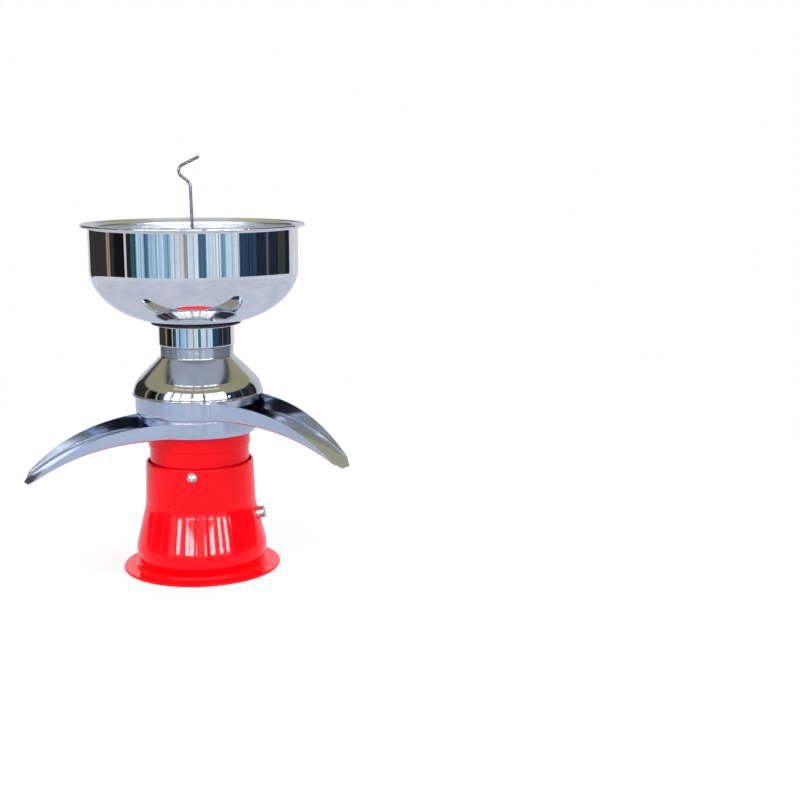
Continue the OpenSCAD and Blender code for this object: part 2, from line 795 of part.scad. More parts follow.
module receiver_cover() {
    knuckle_r = 34;
    knuckle_c = [cover_r - knuckle_r, cover_z];
    cone_top = [collar_r + 2, knuckle_c[1] + knuckle_r * sqrt(2) + knuckle_c[0] - collar_r - 2];
    bead_r = 1.7;
    skirt_r = cream_r - sheet - fit;
    skirt_depth = 10;
    line = concat(arc(knuckle_c[0], knuckle_c[1], knuckle_r, 0, 45, 12),
        [cone_top, [collar_r, cone_top[1] + 1.6], [collar_r, collar_z]]);
    color("silver") {
        turned_sheet(line, sheet);
        translate([0, 0, cover_z + bead_r]) rotate_extrude() translate([cover_r - 0.4, 0])
            circle(r = bead_r, $fn = 32);
        ring(cover_r - 0.2, skirt_r - sheet, cover_z, cover_z + sheet);
        ring(skirt_r, skirt_r - sheet, cover_z - skirt_depth, cover_z + eps);
    }
}

chamber_low_r = collar_r - sheet - fit;
chamber_foot_z = 289;
nozzle_r = 4.6;
module float_chamber() {
    nozzle_end_z = 238;
    rim_flange_r = 57;
    line = concat([[nozzle_r - 1, chamber_foot_z + 0.6], [8, chamber_foot_z]],
        arc(chamber_low_r - 4, chamber_foot_z + 4, 4, -90, 0, 5),
        [[chamber_low_r, collar_z + 0.3]],
        arc(float_chamber_r - 1.2, collar_z + 1.5, 1.2, -90, 0, 4),
        [[float_chamber_r, float_chamber_z - sheet]]);
    color("silver") {
        difference() {
            turned_sheet(line, sheet);
            translate([0, 0, nozzle_end_z]) cylinder(r = nozzle_r - sheet, h = through);
        }
        ring(rim_flange_r, float_chamber_r - sheet, float_chamber_z - sheet, float_chamber_z);
        ring(nozzle_r, nozzle_r - sheet, nozzle_end_z, chamber_foot_z + 1.5);
    }
}

// A light float whose point closes the tap's outlet when the chamber is full
module float_body() {
    float_z = chamber_foot_z + sheet + 0.4;
    color("white") rotate_extrude() polygon([[0, float_z + 2], [12, float_z], [float_r - 3, float_z],
        [float_r, float_z + 3], [float_r, float_z + 14], [float_r - 3, float_z + 17],
        [6, float_z + 18], [5, float_z + 26], [0, float_z + 33]]);
}

module bowl_cushion_ring() {
    in_r = 52.5;
    out_r = 61.5;
    bevel = 0.9;
    color("black") rotate_extrude() polygon([[in_r, float_chamber_z],
        [out_r - bevel, float_chamber_z], [out_r, float_chamber_z + bevel],
        [out_r, bowl_foot_z - gap], [in_r, bowl_foot_z - gap]]);
}

// ---------------------------------------------------------------- bowl and tap

bowl_flat_r = 59;
bowl_sheet = 1.2;
seat_r = 10;
bowl_slope_h = 22.5;
bowl_curve_power = 2.6;
rim_bead_r = 2.4;
// How far the bowl's middle is dished below its foot
bowl_dish = 4;
// Height of the bowl's underside at the radius r, outside its flat foot
function bowl_z(r) =
    let (u = (r - bowl_flat_r) / (bowl_r - bowl_flat_r))
    bowl_foot_z + bowl_slope_h * u
        + (bowl_curve_h - bowl_slope_h) * (1 - sqrt(max(0, 1 - pow(u, bowl_curve_power))));
function bowl_line() =
    let (n = 26, rim_arc_r = 10, rim_z = bowl_rim_z - rim_bead_r)
    concat([[seat_r, bowl_foot_z - bowl_dish], [44, bowl_foot_z - 1.5], [49, bowl_foot_z]],
        [for (i = [0:n]) let (r = bowl_flat_r + (bowl_r - bowl_flat_r) * sin(90 * i / n))
            [r, bowl_z(r)]],
        arc(bowl_r + rim_arc_r, rim_z - rim_arc_r * sin(70), rim_arc_r, 180, 110, 8));

module milk_bowl() {
    skirt_r = float_chamber_r - sheet - gap;
    color("silver") {
        turned_sheet(bowl_line(), bowl_sheet);
        translate([0, 0, bowl_rim_z - rim_bead_r]) rotate_extrude()
            translate([bowl_rim_r - rim_bead_r, 0]) circle(r = rim_bead_r, $fn = 32);
        ring(skirt_r, skirt_r - sheet, bowl_foot_z - 10, bowl_foot_z + 0.6);
    }
}

plug_r = 5;
port_z = 351;
seat_top_z = 357;
seat_foot_z = 334;
module tap_seat() {
    flange_z = bowl_foot_z - bowl_dish + bowl_sheet + 0.5;
    color("silver") difference() {
        union() {
            ring(seat_r - 0.2, plug_r + fit, seat_foot_z, seat_top_z);
            ring(seat_r + 4, seat_r - 1, flange_z, flange_z + 2);
        }
        outward(0, 0, port_z) cylinder(r = 2, h = 20);
    }
}

module tap_plug() {
    color("gold") difference() {
        union() {
            translate([0, 0, seat_foot_z]) cylinder(r = plug_r, h = seat_top_z - seat_foot_z + 1);
            translate([0, 0, seat_top_z + gap]) cylinder(r = seat_r - 1, h = 4);
        }
        translate([0, 0, seat_foot_z - 1]) cylinder(r = 2.6, h = port_z - seat_foot_z + 2);
        outward(90, 0, port_z) cylinder(r = 1.9, h = 20);
        translate([0, 0, seat_top_z]) cylinder(r = rod_d / 2 + 0.2, h = 20);
    }
}

// The bent wire handle in the XZ plane, from the plug up to the hooked grip: the corners of
// the wire and the radius of the bend at each
rod_corners = [[0, 357], [-2.8, 535.4], [-25.6, 553.4], [8.2, 569.9]];
rod_bends = [0, 12, 9, 0];
function rod_way(i) = unit(rod_corners[i + 1] - rod_corners[i]);
function rod_turn(i) = let (a = rod_way(i - 1), b = rod_way(i)) acos(a * b);
// How far from a corner its bend begins
function rod_cut(i) = rod_bends[i] == 0 ? 0 : rod_bends[i] * tan(rod_turn(i) / 2);
module tap_rod() {
    last = len(rod_corners) - 1;
    swell = 0.02;
    color("silver") {
        for (i = [0:last - 1]) {
            p = rod_corners[i] + rod_cut(i) * rod_way(i);
            q = rod_corners[i + 1] - rod_cut(i + 1) * rod_way(i);
            bar([p[0], 0, p[1]], [q[0], 0, q[1]], rod_d / 2);
            if (i > 0) translate([p[0], 0, p[1]]) sphere(r = rod_d / 2 + swell);
            translate([q[0], 0, q[1]]) sphere(r = rod_d / 2 + swell);
        }
        for (i = [1:last - 1]) rod_bend(i);
    }
}

// The bend at corner i: a piece of a torus about the centre of the bend
module rod_bend(i) {
    a = rod_way(i - 1);
    b = rod_way(i);
    side = sign(a[0] * b[1] - a[1] * b[0]);
    start = rod_corners[i] - rod_cut(i) * a;
    centre = start + side * rod_bends[i] * [-a[1], a[0]];
    from = side > 0 ? start - centre : rod_corners[i] + rod_cut(i) * b - centre;
    translate([centre[0], 0, centre[1]]) rotate([90, 0, 0])
        rotate([0, 0, atan2(from[1], from[0])]) rotate_extrude(angle = rod_turn(i))
            translate([rod_bends[i], 0]) circle(r = rod_d / 2);
}

// ---------------------------------------------------------------- power switch, cable gland

switch_nut_t = 2.8;
switch_out = 9.4;
button_r = 6.1;
module switch_body() {
    flange_t = 2;
    flange_r = 10;
    inner_z = -bell_wall - 1.4;
    case_r = 7.5;
    case_h = 13;
    color("silver") at_switch() difference() {
        union() {
            translate([0, 0, inner_z]) cylinder(r = switch_r, h = switch_out - inner_z);
            translate([0, 0, inner_z - flange_t]) cylinder(r = flange_r, h = flange_t);
            translate([0, 0, inner_z - flange_t - case_h + 1]) cylinder(r = case_r, h = case_h);
        }
        translate([0, 0, -button_travel - 0.4]) cylinder(r = button_r + fit, h = through);
    }
}

module switch_nut() {
    nut_r = 9.15;
    color("silver") at_switch() difference() {
        translate([0, 0, 0.5]) cylinder(r = nut_r, h = switch_nut_t);
        cylinder(r = switch_r, h = through);
    }
}

module switch_button() {
    color("gainsboro") at_switch() cylinder(r = button_r, h = switch_out - 0.2);
}

gland_thread_r = 6;
gland_bore_r = 3.4;
module cable_gland() {
    hex_r = 9;
    cap_r = 7.5;
    thread_z = -9;
    color("black") outward(90, bell_r(gland_z), gland_z) difference() {
        union() {
            translate([0, 0, thread_z]) cylinder(r = gland_thread_r, h = 14);
            translate([0, 0, 0.2]) cylinder(r = hex_r, h = 4, $fn = 6);
            translate([0, 0, 4]) cylinder(r = cap_r, h = 6);
        }
        translate([0, 0, thread_z - 1]) cylinder(r = gland_bore_r, h = through);
    }
}

module gland_nut() {
    nut_r = 8.5;
    nut_t = 3.4;
    nut_z = -bell_wall - nut_t - 1.5;
    color("black") outward(90, bell_r(gland_z), gland_z) difference() {
        translate([0, 0, nut_z]) cylinder(r = nut_r, h = nut_t, $fn = 6);
        translate([0, 0, nut_z - 1]) cylinder(r = gland_thread_r, h = through);
    }
}

// ---------------------------------------------------------------- the nodes

base_flange();
base_screws();
bell_housing();
rim_screws();
rim_bushes();
rim_nuts();
motor_casing();
lower_bracket();
bracket_screws();
stator_core();
field_coils();
armature_core();
armature_windings();
commutator();
brush_holders();
carbon_brushes();
brush_springs();
cooling_fan();
spindle();
for (part = ["outer", "inner", "cage", "balls"]) {
    upper_bearing(part);
    lower_bearing(part);
}
drum_chamber();
drum_base();
drum_seal_ring();
disc_holder();
for (i = [0:disc_count - 1]) separating_disc(i);
top_disc();
cream_screw();
drum_cover();
drum_nut();
skim_receiver();
cream_receiver();
receiver_cover();
float_chamber();
float_body();
bowl_cushion_ring();
milk_bowl();
tap_seat();
tap_plug();
tap_rod();
switch_body();
switch_nut();
switch_button();
cable_gland();
gland_nut();
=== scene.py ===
import json
import math

import bmesh
import bpy
from mathutils import Matrix, Vector, kdtree


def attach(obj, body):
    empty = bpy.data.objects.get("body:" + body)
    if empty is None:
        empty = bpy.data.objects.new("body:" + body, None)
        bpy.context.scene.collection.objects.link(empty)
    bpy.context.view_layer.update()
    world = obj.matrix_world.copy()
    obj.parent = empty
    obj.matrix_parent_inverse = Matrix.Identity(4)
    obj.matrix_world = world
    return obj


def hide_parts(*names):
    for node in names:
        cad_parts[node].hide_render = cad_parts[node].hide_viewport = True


# An electric cream separator: smooth bodies, materials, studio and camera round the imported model.
# Lengths in the shape functions are millimetres, and the meshes are metres.

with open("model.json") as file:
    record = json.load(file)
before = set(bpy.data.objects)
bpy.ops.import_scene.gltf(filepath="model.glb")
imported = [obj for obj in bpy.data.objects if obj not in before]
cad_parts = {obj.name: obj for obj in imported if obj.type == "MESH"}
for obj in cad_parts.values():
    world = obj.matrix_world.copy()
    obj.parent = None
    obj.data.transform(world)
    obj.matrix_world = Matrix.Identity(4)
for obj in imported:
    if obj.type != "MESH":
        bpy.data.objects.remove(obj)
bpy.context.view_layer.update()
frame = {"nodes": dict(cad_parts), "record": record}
MM = 0.001
AROUND = 256  # segments round the axis


# ------------------------------------------------------------------ node graphs

class Graph:
    """Adds nodes to a tree, one call per node."""

    def __init__(self, tree):
        self.tree = tree
        tree.nodes.clear()

    def add(self, kind, inputs=None, **settings):
        node = self.tree.nodes.new("ShaderNode" + kind)
        for name, value in settings.items():
            setattr(node, name, value)
        for key, value in (inputs or {}).items():
            if isinstance(value, bpy.types.NodeSocket):
                self.tree.links.new(value, node.inputs[key])
            else:
                node.inputs[key].default_value = value
        return node

    def math(self, operation, a, b=0.0):
        return self.add("Math", {0: a, 1: b}, operation=operation).outputs[0]

    def mix(self, factor, a, b):
        a, b = [c if isinstance(c, bpy.types.NodeSocket) else (*c, 1.0) for c in (a, b)]
        return self.add("Mix", {0: factor, 6: a, 7: b}, data_type="RGBA").outputs[2]

    def ranged(self, value, low, high, to_low=0.0, to_high=1.0):
        return self.add("MapRange", {0: value, 1: low, 2: high, 3: to_low, 4: to_high}).outputs[0]

    def noise(self, vector, scale, detail=2.0, rough=0.5):
        inputs = {"Vector": vector, "Scale": scale, "Detail": detail, "Roughness": rough}
        return self.add("TexNoise", inputs).outputs[0]

    def place(self):
        """The point on the object, in metres in the row frame."""
        return self.add("TexCoord").outputs["Object"]

    def stretched(self, scale):
        return self.add("Mapping", {"Vector": self.place(), "Scale": scale}).outputs[0]

    def spun(self, across, around):
        """Noise whose marks run round the Z axis: fine across them, slow along them."""
        xyz = self.add("SeparateXYZ", {0: self.place()}).outputs
        radius = self.math("SQRT", self.math("ADD", self.math("MULTIPLY", xyz[0], xyz[0]),
                                             self.math("MULTIPLY", xyz[1], xyz[1])))
        turn_x = self.math("DIVIDE", xyz[0], radius)
        turn_y = self.math("DIVIDE", xyz[1], radius)
        vector = self.add("CombineXYZ", {0: self.math("MULTIPLY", radius, across),
                                         1: self.math("MULTIPLY", xyz[2], across),
                                         2: self.math("MULTIPLY", turn_x, around)}).outputs[0]
        inputs = {"Vector": vector, "W": self.math("MULTIPLY", turn_y, around), "Scale": 1.0,
                  "Detail": 3.0}
        return self.add("TexNoise", inputs, noise_dimensions="4D").outputs[0]

    def bump(self, height, distance, under=None):
        inputs = {"Height": height, "Distance": distance, "Strength": 1.0}
        if under:
            inputs["Normal"] = under
        return self.add("Bump", inputs).outputs[0]

    def ramp(self, value, stops, interpolation="LINEAR"):
        node = self.add("ValToRGB", {0: value})
        node.color_ramp.interpolation = interpolation
        while len(node.color_ramp.elements) < len(stops):
            node.color_ramp.elements.new(1.0)
        for element, (position, colour) in zip(node.color_ramp.elements, stops):
            element.position = position
            element.color = (*colour, 1.0)
        return node.outputs[0]


def new_material(name):
    material = bpy.data.materials.new(name)
    material.use_nodes = True
    return material, Graph(material.node_tree)


def finish_material(graph, inputs):
    shader = graph.add("BsdfPrincipled", inputs)
    graph.add("OutputMaterial", {"Surface": shader.outputs[0]})


# ------------------------------------------------------------------ materials

def painted(name, colour):
    """Thick gloss enamel: faint unevenness of colour, orange peel, specks of dust."""
    material, g = new_material(name)
    place = g.place()
    cloud = g.ranged(g.noise(place, 9.0, 3.0), 0.3, 0.7)
    deep = tuple(c * 0.9 for c in colour)
    specks = g.ranged(g.noise(place, 420.0, 2.0), 0.80, 0.86)
    tone = g.mix(g.math("MULTIPLY", specks, 0.5), g.mix(cloud, deep, colour), (0.95, 0.45, 0.45))
    rough = g.ranged(g.noise(place, 34.0, 4.0), 0.3, 0.75, 0.10, 0.24)
    peel = g.bump(g.noise(place, 240.0, 2.0), 0.00004, g.bump(g.noise(place, 22.0, 1.0), 0.0003))
    finish_material(g, {"Base Color": tone, "Roughness": rough, "Normal": peel,
                        "IOR": 1.12, "Coat Weight": 1.0, "Coat IOR": 1.28,
                        "Coat Roughness": 0.03})
    return material


def spun_metal(name, colour, rough, across, depth, wave=0.0, smudge=0.25):
    """Metal turned or polished round the axis: fine rings, smudges and a slow unevenness."""
    material, g = new_material(name)
    place = g.place()
    rings = g.spun(across, 1.2)
    smear = g.ranged(g.noise(place, 26.0, 5.0, 0.6), 0.35, 0.75)
    dim = tuple(c * (1.0 - smudge) for c in colour)
    tone = g.mix(g.math("MULTIPLY", smear, 0.5), colour, dim)
    low, high = rough
    shine = g.math("ADD", g.ranged(rings, 0.3, 0.7, low, (low + high) / 2),
                   g.math("MULTIPLY", smear, (high - low) / 2))
    normal = g.bump(rings, depth)
    if wave:
        normal = g.bump(g.noise(place, 16.0, 1.0), wave, normal)
    finish_material(g, {"Base Color": tone, "Metallic": 1.0, "Roughness": shine, "Normal": normal})
    return material


def pressed_cone(name, colour):
    """Polished sheet whose cone is duller than its bright edge, with rings of the spinning."""
    material, g = new_material(name)
    height = g.add("SeparateXYZ", {0: g.place()}).outputs[2]
    dull = g.ranged(height, 0.258, 0.284, 0.05, 0.17)
    smear = g.ranged(g.noise(g.place(), 30.0, 5.0, 0.6), 0.35, 0.75)
    shine = g.math("ADD", dull, g.math("MULTIPLY", smear, 0.04))
    tone = g.mix(smear, colour, tuple(c * 0.86 for c in colour))
    normal = g.bump(g.spun(700.0, 1.2), 0.000003)
    finish_material(g, {"Base Color": tone, "Metallic": 1.0, "Roughness": shine,
                        "Normal": normal})
    return material


def satin_sheet(name, colour, rough):
    """Pressed sheet with a soft sheen: faint clouds, a very fine drawn grain, light scuffs."""
    material, g = new_material(name)
    cloud = g.ranged(g.noise(g.place(), 7.0, 2.0), 0.3, 0.7)
    grain = g.noise(g.stretched((60.0, 60.0, 900.0)), 1.0, 3.0)
    scuff = g.ranged(g.noise(g.stretched((30.0, 30.0, 240.0)), 1.0, 5.0, 0.7), 0.62, 0.72)
    tone = g.mix(cloud, tuple(c * 0.95 for c in colour), colour)
    low, high = rough
    shine = g.math("ADD", g.ranged(grain, 0.3, 0.7, low, high), g.math("MULTIPLY", scuff, 0.06))
    finish_material(g, {"Base Color": tone, "Metallic": 1.0, "Roughness": shine,
                        "Normal": g.bump(grain, 0.0000012)})
    return material


def cast_metal(name, colour, rough, grain, depth, metallic=1.0):
    """Metal or plastic with a grain that has no direction."""
    material, g = new_material(name)
    place = g.place()
    fine = g.noise(place, grain, 4.0, 0.6)
    broad = g.ranged(g.noise(place, grain / 9, 3.0), 0.3, 0.7)
    tone = g.mix(broad, tuple(c * 0.78 for c in colour), colour)
    shine = g.ranged(fine, 0.3, 0.7, *rough)
    finish_material(g, {"Base Color": tone, "Metallic": metallic, "Roughness": shine,
                        "Normal": g.bump(fine, depth)})
    return material


def laminated(name, colour):
    """A stack of thin sheets: dark joints every half millimetre of height."""
    material, g = new_material(name)
    height = g.add("SeparateXYZ", {0: g.place()}).outputs[2]
    joint = g.math("PINGPONG", g.math("MULTIPLY", height, 2000.0), 1.0)
    edge = g.ranged(joint, 0.0, 0.35)
    tone = g.mix(edge, tuple(c * 0.2 for c in colour), colour)
    shine = g.ranged(g.noise(g.place(), 300.0), 0.3, 0.7, 0.35, 0.55)
    finish_material(g, {"Base Color": tone, "Metallic": 1.0, "Roughness": shine,
                        "Normal": g.bump(edge, 0.00005)})
    return material


def wound(name, colour):
    """Enamelled copper wire, laid side by side."""
    material, g = new_material(name)
    tilt = g.add("Mapping", {"Vector": g.place(), "Rotation": (0.0, 0.4, 0.6)}).outputs[0]
    wires = g.add("TexWave", {"Vector": tilt, "Scale": 420.0, "Distortion": 0.6}).outputs[0]
    tone = g.mix(wires, tuple(c * 0.3 for c in colour), colour)
    finish_material(g, {"Base Color": tone, "Metallic": 0.85, "Normal": g.bump(wires, 0.0002),
                        "Roughness": g.ranged(wires, 0.0, 1.0, 0.45, 0.28)})
    return material


def make_materials():
    return {
        "red_paint": painted("red_enamel", (0.93, 0.001, 0.007)),
        "polished_steel": spun_metal("mirror_steel", (0.88, 0.885, 0.91), (0.02, 0.07),
                                     900.0, 0.0000012, 0.00006),
        "satin_steel": satin_sheet("satin_steel", (0.70, 0.75, 0.88), (0.13, 0.20)),
        "wire_steel": spun_metal("drawn_wire", (0.24, 0.25, 0.30), (0.2, 0.34), 2400.0, 0.000003),
        "cover_steel": pressed_cone("cover_steel", (0.64, 0.66, 0.70)),
        "inner_steel": spun_metal("scoured_steel", (0.84, 0.88, 0.96), (0.26, 0.38),
                                  1400.0, 0.000003),
        "zinc": cast_metal("bright_zinc", (0.78, 0.82, 0.86), (0.18, 0.32), 900.0, 0.000006),
        "nickel": cast_metal("nickel_plate", (0.80, 0.77, 0.74), (0.12, 0.22), 700.0, 0.000003),
        "machined_steel": spun_metal("machined_steel", (0.60, 0.61, 0.63), (0.18, 0.34),
                                     3000.0, 0.000004),
        "lamination": laminated("laminated_iron", (0.36, 0.37, 0.40)),
        "drum_steel": spun_metal("turned_drum_steel", (0.74, 0.75, 0.77), (0.16, 0.3),
                                 2200.0, 0.000004),
        "disc_steel": spun_metal("pressed_disc_sheet", (0.82, 0.82, 0.84), (0.2, 0.34),
                                 1500.0, 0.000003),
        "cast_alloy": cast_metal("cast_alloy", (0.55, 0.56, 0.58), (0.42, 0.6), 350.0, 0.00006),
        "brass": spun_metal("turned_brass", (0.80, 0.58, 0.27), (0.16, 0.3), 2600.0, 0.000004),
        "copper_wire": wound("enamelled_wire", (0.75, 0.34, 0.15)),
        "carbon": cast_metal("pressed_carbon", (0.05, 0.05, 0.055), (0.5, 0.7), 900.0, 0.00003, 0.0),
        "black_rubber": cast_metal("black_rubber", (0.022, 0.022, 0.025), (0.55, 0.75),
                                   600.0, 0.00003, 0.0),
        "black_plastic": cast_metal("black_plastic", (0.03, 0.03, 0.034), (0.32, 0.46),
                                    500.0, 0.00002, 0.0),
        "float_plastic": cast_metal("float_foam", (0.86, 0.86, 0.82), (0.45, 0.6),
                                    400.0, 0.00005, 0.0),
    }


# ------------------------------------------------------------------ turned shapes

def arc(cx, cz, r, a0, a1, steps=12):
    angles = [math.radians(a0 + (a1 - a0) * i / steps) for i in range(steps + 1)]
    return [(cx + r * math.cos(a), cz + r * math.sin(a)) for a in angles]


def beside(line, t):
    """The (r, z) line moved by t to the left of its direction."""
    moved = []
    for i, (r, z) in enumerate(line):
        r0, z0 = line[max(i - 1, 0)]
        r1, z1 = line[min(i + 1, len(line) - 1)]
        size = math.hypot(r1 - r0, z1 - z0)
        moved.append((r - t * (z1 - z0) / size, z + t * (r1 - r0) / size))
    return moved


def link(name, mesh, body, material, slot, *nodes):
    """Puts a mesh in the scene as a piece that rides on a body and stands for CAD nodes."""
    piece = bpy.data.objects.new(name, mesh)
    bpy.context.scene.collection.objects.link(piece)
    mesh.materials.append(material)
    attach(piece, body)
    if nodes:
        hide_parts(*nodes)
    return piece


def clean(loop):
    """The closed loop without repeated points, and with points close to the ends of each long
    straight stretch, so that smooth shading doesn't bend it."""
    kept = [p for i, p in enumerate(loop) if math.dist(p, loop[i - 1]) > 1e-4]
    braced = []
    for i, a in enumerate(kept):
        b = kept[(i + 1) % len(kept)]
        length = math.dist(a, b)
        braced.append(a)
        if length > 3.0:
            step = 0.3 / length
            braced += [tuple(p + (q - p) * t for p, q in zip(a, b)) for t in (step, 1 - step)]
    return braced


def turned_mesh(name, loops, sharp=32.0):
    """Closed (r, z) loops in mm, turned about the Z axis."""
    bm = bmesh.new()
    for loop in map(clean, loops):
        rings = []
        for r, z in loop:
            turn = [2 * math.pi * k / AROUND for k in range(AROUND)]
            rings.append([bm.verts.new((r * MM * math.cos(a), r * MM * math.sin(a), z * MM))
                          for a in turn])
        for i, ring in enumerate(rings):
            upper = rings[(i + 1) % len(rings)]
            for k in range(AROUND):
                n = (k + 1) % AROUND
                bm.faces.new((ring[k], ring[n], upper[n], upper[k]))
    bmesh.ops.remove_doubles(bm, verts=bm.verts, dist=1e-7)
    bmesh.ops.dissolve_degenerate(bm, edges=bm.edges, dist=1e-7)
    bmesh.ops.recalc_face_normals(bm, faces=bm.faces)
    mesh = bpy.data.meshes.new(name)
    bm.to_mesh(mesh)
    bm.free()
    mesh.shade_smooth()
    mesh.set_sharp_from_angle(angle=math.radians(sharp))
    return mesh


def loop_edges(loops, sharp=32.0):
    """For each edge of the loops: its ends, and the surface's normal at each end, in (r, z)."""
    found = []
    for loop in map(clean, loops):
        count = len(loop)
        area = sum(loop[i][0] * loop[(i + 1) % count][1] - loop[(i + 1) % count][0] * loop[i][1]
                   for i in range(count))
        side = 1 if area > 0 else -1
        flat = []
        for i in range(count):
            way = Vector(loop[(i + 1) % count]) - Vector(loop[i])
            flat.append(Vector((way.y, -way.x)).normalized() * side)
        for i in range(count):
            ends = []
            for other in (flat[i - 1], flat[(i + 1) % count]):
                soft = flat[i].dot(other) > math.cos(math.radians(sharp))
                ends.append((flat[i] + other).normalized() if soft else flat[i])
            found.append((Vector(loop[i]), Vector(loop[(i + 1) % count]), *ends))
    return found


def restore_normals(mesh, loops):
    """Gives a drilled turned mesh the smooth normals that its loops have."""
    edges = loop_edges(loops)
    tree = kdtree.KDTree(len(edges))
    for i, (a, b, _, _) in enumerate(edges):
        middle = (a + b) / 2
        tree.insert((middle.x, middle.y, 0), i)
    tree.balance()
    normals = [(0.0, 0.0, 0.0)] * len(mesh.loops)
    for polygon in mesh.polygons:
        c = polygon.center / MM
        own = Vector((polygon.normal.x * c.x + polygon.normal.y * c.y, 0))
        radius = math.hypot(c.x, c.y)
        own = Vector((own.x / max(radius, 1e-6), polygon.normal.z))
        best = None
        for _, i, _ in tree.find_n((radius, c.z, 0), 8):
            a, b, na, nb = edges[i]
            way = b - a
            t = max(0.0, min(1.0, (Vector((radius, c.z)) - a).dot(way) / way.length_squared))
            far = (a + way * t - Vector((radius, c.z))).length
            if own.dot(na + nb) > 1.7 and (best is None or far < best[0]):
                best = (far, i)
        if best is None or best[0] > 0.2:
            continue
        a, b, na, nb = edges[best[1]]
        way = b - a
        for k in polygon.loop_indices:
            p = mesh.vertices[mesh.loops[k].vertex_index].co / MM
            r = max(math.hypot(p.x, p.y), 1e-6)
            t = max(0.0, min(1.0, (Vector((r, p.z)) - a).dot(way) / way.length_squared))
            n = na.lerp(nb, t).normalized()
            normals[k] = (n.x * p.x / r, n.x * p.y / r, n.y)
    mesh.normals_split_custom_set(normals)


def rod_mesh(bm, start, way, radius, sides=40):
    """Adds a closed round rod to bm, from start along way (metres)."""
    made = bmesh.ops.create_cone(bm, cap_ends=True, segments=sides, radius1=radius,
                                 radius2=radius, depth=way.length)
    turn = way.to_track_quat("Z", "Y").to_matrix().to_4x4()
    bmesh.ops.transform(bm, matrix=Matrix.Translation(start + way / 2) @ turn,
                        verts=made["verts"])


def drilled(mesh, loops, holes):
    """The turned mesh less round holes, each (start, way, radius) in metres."""
    bm = bmesh.new()
    for start, way, radius in holes:
        rod_mesh(bm, start, way, radius)
    drill = bpy.data.meshes.new("drill")
    bm.to_mesh(drill)
    bm.free()
    tools = [bpy.data.objects.new(n, m) for n, m in (("blank", mesh), ("drill", drill))]
    for tool in tools:
        bpy.context.scene.collection.objects.link(tool)
    cut = tools[0].modifiers.new("cut", "BOOLEAN")
    cut.operation, cut.object, cut.solver = "DIFFERENCE", tools[1], "EXACT"
    graph = bpy.context.evaluated_depsgraph_get()
    made = bpy.data.meshes.new_from_object(tools[0].evaluated_get(graph))
    for tool in tools:
        bpy.data.objects.remove(tool)
    made.shade_smooth()
    restore_normals(made, loops)
    made.name = mesh.name
    return made


def outward(angle, radius, z, length, tilt=0.0):
    """A drill's start and way (metres): outward from the radius, at an angle, tilted up."""
    a, t = math.radians(angle), math.radians(tilt)
    start = Vector((radius * math.cos(a), radius * math.sin(a), z)) * MM
    way = Vector((math.cos(t) * math.cos(a), math.cos(t) * math.sin(a), math.sin(t)))
    return start, way * length * MM


def beaded(outer, inner, centre, r):
    """Outer and inner lines of a sheet closed by a rolled bead at their ends."""
    keep = [[p for p in line if math.dist(p, centre) > r + 0.02] for line in (outer, inner)]
    angles = [math.degrees(math.atan2(line[-1][1] - centre[1], line[-1][0] - centre[0]))
              for line in keep]
    first, last = angles[0] % 360, angles[1] % 360
    if last <= first:
        last += 360
    return keep[0] + arc(*centre, r, first, last, 28) + keep[1][::-1]


# ------------------------------------------------------------------ bodies of revolution

BELL_FOOT_Z, BELL_RIM_Z, BELL_WALL = 7.8, 153.0, 2.8
BELL_FOOT_R, BELL_WAIST_R, BELL_RIM_R = 90.8, 76.5, 74.6
FLARE_Z0, FLARE_Z1 = 29.0, 100.0
FLARE_GROW, FLARE_FADE = 0.14, 0.21


def flare(t):
    """How much of the flare's step lies below the share t of its height."""
    full = 1 - (FLARE_GROW + FLARE_FADE) / 2
    if t < FLARE_GROW:
        return t * t / (2 * FLARE_GROW) / full
    if t < 1 - FLARE_FADE:
        return (t - FLARE_GROW / 2) / full
    return 1 - (1 - t) ** 2 / (2 * FLARE_FADE) / full


def bell_r(z):
    if z < FLARE_Z0:
        rise = math.sin(math.pi / 2 * (z - BELL_FOOT_Z) / (FLARE_Z0 - BELL_FOOT_Z))
        return BELL_FOOT_R - 3.6 + 3.6 * rise
    if z < FLARE_Z1:
        share = flare((z - FLARE_Z0) / (FLARE_Z1 - FLARE_Z0))
        return BELL_FOOT_R + (BELL_WAIST_R - BELL_FOOT_R) * share
    rise = (z - FLARE_Z1) / (BELL_RIM_Z - FLARE_Z1)
    return BELL_WAIST_R + (BELL_RIM_R - BELL_WAIST_R) * rise


def bell_tilt(z):
    return math.degrees(math.atan((bell_r(z - 4) - bell_r(z + 4)) / 8))


